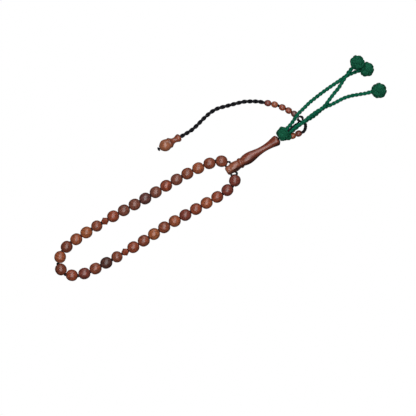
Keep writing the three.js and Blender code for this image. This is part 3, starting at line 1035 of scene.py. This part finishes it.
# Paler towards the blunt end, and darker along the lower side, where the dark tone is painted shade.
IMAME_ZONES = [("X", 21.0, 4.0, "belly", 0.7), ("Y", -11.7, -13.2, "underside_painted_shade", 0.85)]


def cutter(start, end, radius):
    verts, faces, _ = tube([start, (start + end) / 2, end], radius, 24)
    mesh = bpy.data.meshes.new("cutter")
    mesh.from_pydata((verts * MM).tolist(), [], faces)
    piece = bpy.data.objects.new("cutter", mesh)
    SCENE.collection.objects.link(piece)
    return piece


def cut(piece, tool):
    modifier = piece.modifiers.new("cut", "BOOLEAN")
    modifier.operation = "DIFFERENCE"
    modifier.solver = "EXACT"
    modifier.object = tool
    bpy.context.view_layer.objects.active = piece
    bpy.ops.object.modifier_apply(modifier="cut")
    bpy.data.objects.remove(tool)


def turned_imame():
    outline = [tuple(point) for point in smooth_outline(IMAME_OUTLINE, 0.16)]
    outline += [(36.5, 0.8), (28, 0.75), (18, 0.75), (8, 0.75), (0.3, 0.75)]
    verts, faces = lathe(outline, 96, on_imame(0), IMAME_AXIS)
    material = wood("wood_imame", "rosewood", 7, lengthwise=True, zones=IMAME_ZONES, relief=0.16)
    piece = make("imame_turned", verts, faces, material)
    for hole in HOLES:
        cut(piece, cutter(on_imame(hole, -5), on_imame(hole, 5), CROSS_HOLE))
    cut(piece, cutter(on_imame(1.85, -0.15, 1.6), on_imame(1.85, -0.15, 5), 0.42))
    piece.data.polygons.foreach_set("use_smooth", [True] * len(piece.data.polygons))
    sharpen(piece, 38)
    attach(piece, "imame")
    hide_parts("imame")


turned_imame()

# ---------------------------------------------------------------- finial and its stopper knot

FINIAL_FOOT = np.array([-7.9, 21.17, 2.34])
FINIAL_TILT = math.radians(7.7)
FINIAL_YAW = math.radians(178.6)
FINIAL_AXIS = np.array(
    [
        math.cos(FINIAL_TILT) * math.cos(FINIAL_YAW),
        math.cos(FINIAL_TILT) * math.sin(FINIAL_YAW),
        math.sin(FINIAL_TILT),
    ]
)
FINIAL_ZONES = [("X", -14, -16.5, "belly", 0.75)]
FINIAL_OUTLINE = [
    (0.0, 1.35), (0.03, 1.62), (0.3, 2.08), (0.8, 2.38), (1.35, 2.45), (1.9, 2.32), (2.6, 2.02), (3.4, 1.76),
    (4.2, 1.68), (5.0, 1.82), (5.8, 2.28), (6.4, 2.76), (6.9, 3.12), (7.25, 3.26), (7.6, 3.22), (7.9, 3.12),
    (8.3, 3.16), (9.1, 3.42), (10.0, 3.66), (10.7, 3.69), (11.4, 3.57), (12.1, 3.3), (12.8, 2.84),
    (13.4, 2.26), (13.9, 1.72), (14.2, 1.3), (14.22, 1.0),
]


def turned_finial():
    outline = [tuple(point) for point in smooth_outline(FINIAL_OUTLINE, 0.14)]
    outline += [(14.0, 0.75), (9, 0.75), (4, 0.75), (1.9, 0.8), (1.6, 1.2), (0.2, 1.25)]
    verts, faces = lathe(outline, 80, FINIAL_FOOT, FINIAL_AXIS)
    material = wood("wood_finial", "brown", 23, lengthwise=True, zones=FINIAL_ZONES, relief=0.2)
    piece = make("finial_turned", verts, faces, material)
    sharpen(piece, 40)
    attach(piece, "finial")
    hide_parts("finial")
    return piece


def stopper():
    centre = FINIAL_FOOT + FINIAL_AXIS * 15.1
    knot = ball_knot(
        "stopper_knot_weave", centre, (0.85, 1.9, 1.4), (0, 1, 0), 0.5, 3, 4, BLACK, 48.0
    )
    stem = Bundle()
    points = [FINIAL_FOOT + FINIAL_AXIS * along for along in (1.5, 6, 11, 14.9)]
    twist(stem, spline(points, 0.35), 0.5, 1.4, sides=8)
    piece = stem.make("stopper_stem", BLACK)
    for each in (knot, piece):
        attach(each, "finial")
    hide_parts("stopper_knot")
    return knot, piece


finial = turned_finial()
stopper_knot, stopper_stem = stopper()

# ---------------------------------------------------------------- floor and light


def make_floor():
    half = 3.0
    mesh = bpy.data.meshes.new("floor")
    corners = [(-half, -half, 0), (half, -half, 0), (half, half, 0), (-half, half, 0)]
    mesh.from_pydata(corners, [], [(0, 1, 2, 3)])
    floor = bpy.data.objects.new("floor", mesh)
    SCENE.collection.objects.link(floor)
    material = bpy.data.materials.new("floor")
    material.use_nodes = True
    shader = material.node_tree.nodes["Principled BSDF"]
    shader.inputs["Base Color"].default_value = (0, 0, 0, 1)
    shader.inputs["Roughness"].default_value = 1.0
    shader.inputs["Specular IOR Level"].default_value = 0.0
    shader.inputs["Emission Color"].default_value = (1, 1, 1, 1)
    shader.inputs["Emission Strength"].default_value = 1.0
    mesh.materials.append(material)
    floor.visible_diffuse = False
    floor.visible_glossy = False


def area_light(name, location, size, watts, target=None):
    """A square lamp of `size`. It faces straight down, or the target when there is one."""
    data = bpy.data.lights.new(name, "AREA")
    data.shape = "SQUARE"
    data.size = size
    data.energy = watts
    lamp = bpy.data.objects.new(name, data)
    SCENE.collection.objects.link(lamp)
    lamp.location = location
    if target is None:
        lamp.rotation_euler = (0, 0, -VIEW_ROLL)
    else:
        lamp.rotation_euler = (Vector(target) - Vector(location)).to_track_quat("-Z", "Y").to_euler()


def make_world(strength):
    world = bpy.data.worlds.new("world")
    world.use_nodes = True
    background = world.node_tree.nodes["Background"]
    background.inputs["Color"].default_value = (1, 1, 1, 1)
    background.inputs["Strength"].default_value = strength
    SCENE.world = world


make_floor()
make_world(0.03)
area_light("overhead", (-0.16, -0.27, 1.25), 0.95, 7.3)
area_light("upper", (0.3, 0.5, 1.2), 0.9, 6.2, target=(0, 0, 0))
area_light("upper_side", (0.75, 1.15, 0.6), 1.0, 4, target=(0, 0, 0))
SCENE.view_settings.view_transform = "Standard"
SCENE.view_settings.look = "None"
